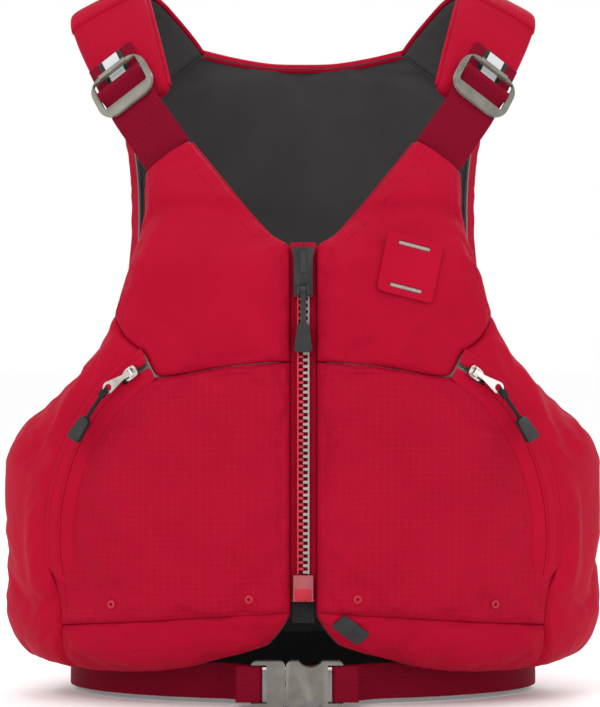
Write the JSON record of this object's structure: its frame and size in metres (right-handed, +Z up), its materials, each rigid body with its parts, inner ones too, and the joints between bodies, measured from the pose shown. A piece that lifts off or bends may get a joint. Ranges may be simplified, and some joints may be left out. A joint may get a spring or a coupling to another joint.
{
  "type": "life jacket",
  "caption": "Front-zip paddling life jacket with foam panels, padded shoulders, zipped hand pockets and a buckled waist belt",
  "frame": {"origin": "on the torso's centre line, level with the underside of the waist buckle", "axes": "+Z up from waist to shoulders, the wearer faces -Y, +X is the wearer's left"},
  "size_m": [0.4236, 0.2725, 0.5137],
  "materials": {
    "red_cloth": "matte woven nylon",
    "deep_red_webbing": "ribbed webbing",
    "grey_lining": "matte",
    "foam": "closed-cell foam",
    "black_plastic": "satin",
    "stone_plastic": "satin",
    "grey_plastic": "satin",
    "tooth_grey": "satin",
    "red_plastic": "satin",
    "steel": "satin nickel",
    "silver_tape": "retroreflective",
    "black_cord": "braided"
  },
  "bodies": {
    "jacket_back": {"back_shell": "red_cloth", "back_foam": "foam", "back_lining": "grey_lining", "shoulder_pad_left": "red_cloth", "shoulder_pad_right": "red_cloth", "side_gusset_left": "red_cloth", "side_gusset_right": "red_cloth", "shoulder_webbing_left": "deep_red_webbing", "shoulder_webbing_right": "deep_red_webbing", "anchor_webbing_left": "deep_red_webbing", "anchor_webbing_right": "deep_red_webbing", "reflective_strip_left": "silver_tape", "reflective_strip_right": "silver_tape", "belt_webbing_left": "deep_red_webbing", "belt_webbing_right": "deep_red_webbing", "buckle_female": "grey_plastic"},
    "front_left": {"front_shell_left": "red_cloth", "front_foam_left": "foam", "front_lining_left": "grey_lining", "pocket_panel_left": "red_cloth", "drain_grommet_inner_left": "red_plastic", "drain_grommet_outer_left": "red_plastic", "lash_tab": "red_cloth", "corner_patch": "black_plastic", "zip_tape_left": "red_cloth", "zip_teeth_left": "tooth_grey", "zip_top_stop_left": "black_plastic", "zip_pin": "red_plastic", "zip_guard": "black_plastic", "pocket_zip_tape_left": "red_cloth"},
    "front_right": {"front_shell_right": "red_cloth", "front_foam_right": "foam", "front_lining_right": "grey_lining", "pocket_panel_right": "red_cloth", "drain_grommet_inner_right": "red_plastic", "drain_grommet_outer_right": "red_plastic", "zip_tape_right": "red_cloth", "zip_teeth_right": "red_plastic", "zip_top_stop_right": "black_plastic", "zip_box": "red_plastic", "pocket_zip_tape_right": "red_cloth"},
    "zip_slider": {"zip_slider": "black_plastic"},
    "zip_pull": {"zip_pull_link": "black_plastic", "zip_pull_grip": "black_plastic"},
    "buckle_male": {"buckle_male": "grey_plastic"},
    "prong_upper": {"buckle_prong_upper": "grey_plastic"},
    "prong_lower": {"buckle_prong_lower": "grey_plastic"},
    "adjuster_left": {"strap_adjuster_left": "stone_plastic"},
    "pocket_slider_left": {"pocket_slider_left": "steel"},
    "pocket_tab_left": {"pocket_pull_tab_left": "steel"},
    "pocket_grip_left": {"pocket_pull_cord_left": "black_cord", "pocket_pull_grip_left": "black_plastic"},
    "adjuster_right": {"strap_adjuster_right": "stone_plastic"},
    "pocket_slider_right": {"pocket_slider_right": "steel"},
    "pocket_tab_right": {"pocket_pull_tab_right": "steel"},
    "pocket_grip_right": {"pocket_pull_cord_right": "black_cord", "pocket_pull_grip_right": "black_plastic"}
  },
  "joints": [
    {"name": "front_left_swing", "type": "hinge", "parent": "jacket_back", "child": "front_left", "pos_m": [0.2, 0, 0.12], "axis": [-0.3477, -0.2576, 0.9015], "range_deg": [0, 40], "deforming": ["side_gusset_left", "shoulder_webbing_left", "zip_tape_left", "zip_teeth_left", "zip_guard"]},
    {"name": "front_right_swing", "type": "hinge", "parent": "jacket_back", "child": "front_right", "pos_m": [-0.2, 0, 0.12], "axis": [-0.3477, 0.2576, -0.9015], "range_deg": [0, 40], "deforming": ["side_gusset_right", "shoulder_webbing_right", "zip_tape_right", "zip_teeth_right"]},
    {"name": "main_zip_slide", "type": "slide", "parent": "front_right", "child": "zip_slider", "axis": [0, 0, -1], "range_m": [0, 0.188]},
    {"name": "main_pull_flip", "type": "hinge", "parent": "zip_slider", "child": "zip_pull", "pos_m": [0, -0.1428, 0.289], "axis": [-1, 0, 0], "range_deg": [0, 95]},
    {"name": "pocket_zip_left", "type": "hinge", "parent": "front_left", "child": "pocket_slider_left", "pos_m": [0.0502, -0.16294, 0.117], "axis": [-0.4808, 0.8768, 0], "range_deg": [0, 60]},
    {"name": "pocket_tab_flip_left", "type": "hinge", "parent": "pocket_slider_left", "child": "pocket_tab_left", "pos_m": [0.11832, -0.13516, 0.2323], "axis": [-0.4776, -0.2619, -0.8387], "range_deg": [0, 120]},
    {"name": "pocket_cord_swing_left", "type": "hinge", "parent": "pocket_tab_left", "child": "pocket_grip_left", "pos_m": [0.13376, -0.12905, 0.2216], "axis": [0.4013, -0.9142, 0.0569], "range_deg": [-30, 40]},
    {"name": "pocket_zip_right", "type": "hinge", "parent": "front_right", "child": "pocket_slider_right", "pos_m": [-0.0502, -0.16294, 0.117], "axis": [-0.4808, -0.8768, 0], "range_deg": [0, 60]},
    {"name": "pocket_tab_flip_right", "type": "hinge", "parent": "pocket_slider_right", "child": "pocket_tab_right", "pos_m": [-0.11832, -0.13516, 0.2323], "axis": [-0.4776, 0.2619, 0.8387], "range_deg": [0, 120]},
    {"name": "pocket_cord_swing_right", "type": "hinge", "parent": "pocket_tab_right", "child": "pocket_grip_right", "pos_m": [-0.13376, -0.12905, 0.2216], "axis": [0.4013, 0.9142, -0.0569], "range_deg": [-30, 40]},
    {"name": "adjuster_tilt_left", "type": "hinge", "parent": "jacket_back", "child": "adjuster_left", "pos_m": [0.12994, -0.06688, 0.43778], "axis": [-0.7838, -0.243, 0.5715], "range_deg": [0, 9]},
    {"name": "adjuster_tilt_right", "type": "hinge", "parent": "jacket_back", "child": "adjuster_right", "pos_m": [-0.12994, -0.06688, 0.43778], "axis": [-0.7838, 0.243, -0.5715], "range_deg": [0, 9]},
    {"name": "buckle_release", "type": "slide", "parent": "jacket_back", "child": "buckle_male", "axis": [-1, 0, 0], "range_m": [0, 0.0215], "deforming": ["buckle_prong_upper", "buckle_prong_lower", "belt_webbing_right"]},
    {"name": "prong_upper_squeeze", "type": "hinge", "parent": "buckle_male", "child": "prong_upper", "pos_m": [-0.012, -0.117, 0.021], "axis": [0, 1, 0], "range_deg": [0, 8], "stiffness_Nm_per_rad": 0.02},
    {"name": "prong_lower_squeeze", "type": "hinge", "parent": "buckle_male", "child": "prong_lower", "pos_m": [-0.012, -0.117, 0.012], "axis": [0, -1, 0], "range_deg": [0, 8], "stiffness_Nm_per_rad": 0.02}
  ]
}
